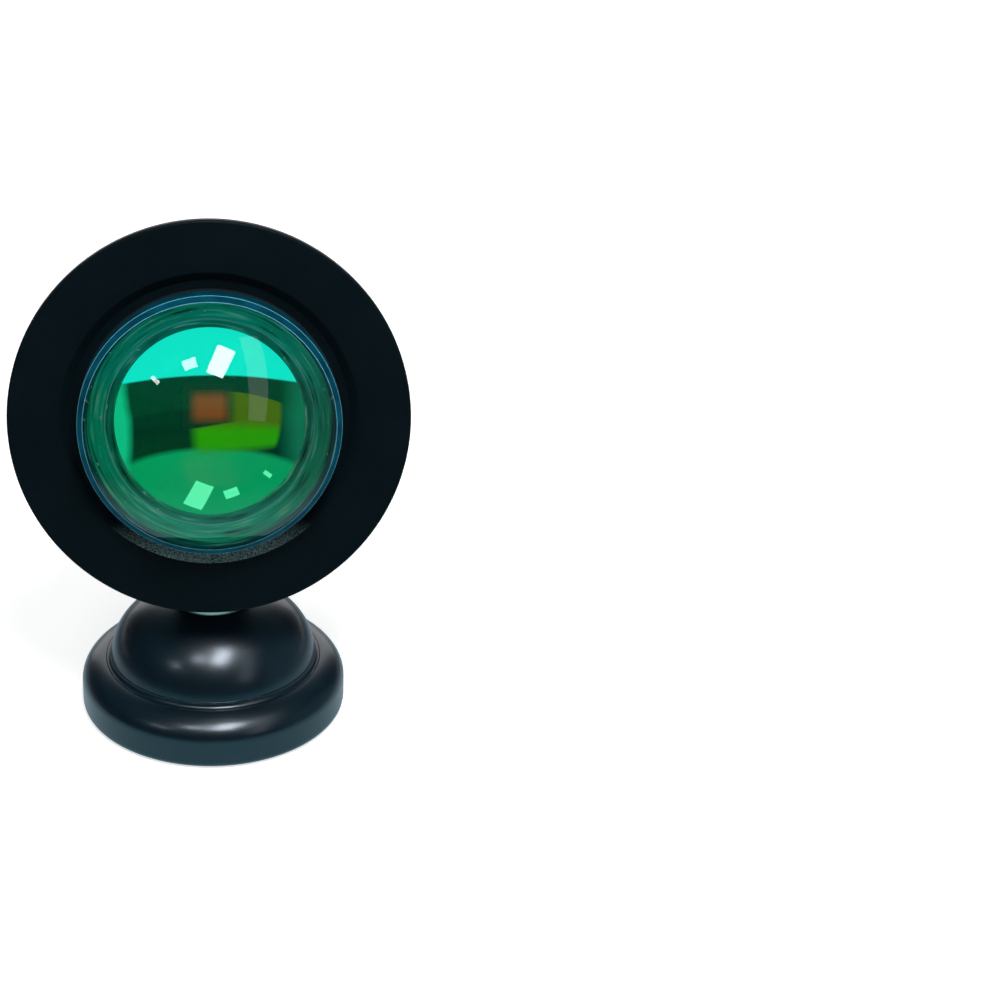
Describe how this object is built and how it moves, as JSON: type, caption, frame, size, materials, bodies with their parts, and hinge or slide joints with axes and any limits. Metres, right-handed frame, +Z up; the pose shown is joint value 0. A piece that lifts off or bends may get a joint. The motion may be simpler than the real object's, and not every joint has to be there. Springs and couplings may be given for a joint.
{
  "type": "projection lamp",
  "caption": "Small table projection lamp: a domed lens in a round face plate, a tapered rear shell, a tilting fork hinge and a weighted dome base that swivels.",
  "frame": {"origin": "centre of the foot pad, on the surface the lamp stands on", "axes": "+Z up; the lamp shines towards -Y and a little up; +X is to the right of someone who looks at the lens"},
  "size_m": [0.092, 0.0743, 0.1253],
  "materials": {
    "base_paint": "satin black paint with a blue cast",
    "face_paint": "matt black coat on aluminium",
    "lens_glass": "clear polished glass",
    "filter_glass": "thin coated dish, green by reflection and orange by transmission",
    "black_rubber": "matt",
    "black_plastic": "fine grain",
    "metallised_plastic": "bright metallised",
    "phosphor": "yellow phosphor in silicone",
    "board_laminate": "solder-masked laminate",
    "white_board": "white solder mask on aluminium",
    "bare_aluminium": "milled",
    "steel": "zinc-plated",
    "ballast_iron": "phosphated",
    "acetal": "natural white",
    "button_plastic": "satin",
    "inlet_can": "tin-plated"
  },
  "bodies": {
    "base": {"base_shell": "base_paint", "base_plate": "steel", "foot_pad": "black_rubber", "ballast": "ballast_iron", "plate_screws": "steel", "ballast_screws": "steel", "power_inlet": "inlet_can", "driver_board": "board_laminate", "friction_washer": "black_plastic", "swivel_bush": "acetal"},
    "neck": {"neck_fork": "base_paint", "spring_washer": "steel", "swivel_nut": "steel", "tilt_bolt": "steel", "tilt_nut": "steel", "tilt_washers": "black_plastic"},
    "head": {"face_plate": "face_paint", "face_screws": "steel", "lens": "lens_glass", "lens_gasket": "black_rubber", "dichroic_filter": "filter_glass", "filter_retainer": "black_plastic", "reflector_cup": "metallised_plastic", "led_emitter": "phosphor", "led_board": "white_board", "led_screws": "steel", "heat_sink": "bare_aluminium", "rear_shell": "face_paint", "tilt_lug": "base_paint", "lug_screws": "steel", "switch_board": "board_laminate", "switch_screws": "steel", "switch_body": "black_plastic"},
    "button": {"power_button": "button_plastic", "switch_plunger": "acetal"}
  },
  "joints": [
    {"name": "swivel", "type": "hinge", "parent": "base", "child": "neck", "pos_m": [0, 0, 0.0287], "axis": [0, 0, 1], "range_deg": [-170, 170]},
    {"name": "tilt", "type": "hinge", "parent": "neck", "child": "head", "pos_m": [0, 0, 0.03715], "axis": [-1, 0, 0], "range_deg": [-25, 45]},
    {"name": "button_press", "type": "slide", "parent": "head", "child": "button", "axis": [0, -0.9659, 0.2588], "range_m": [0, 0.0012], "stiffness_N_per_m": 500, "springref_m": -0.001}
  ]
}
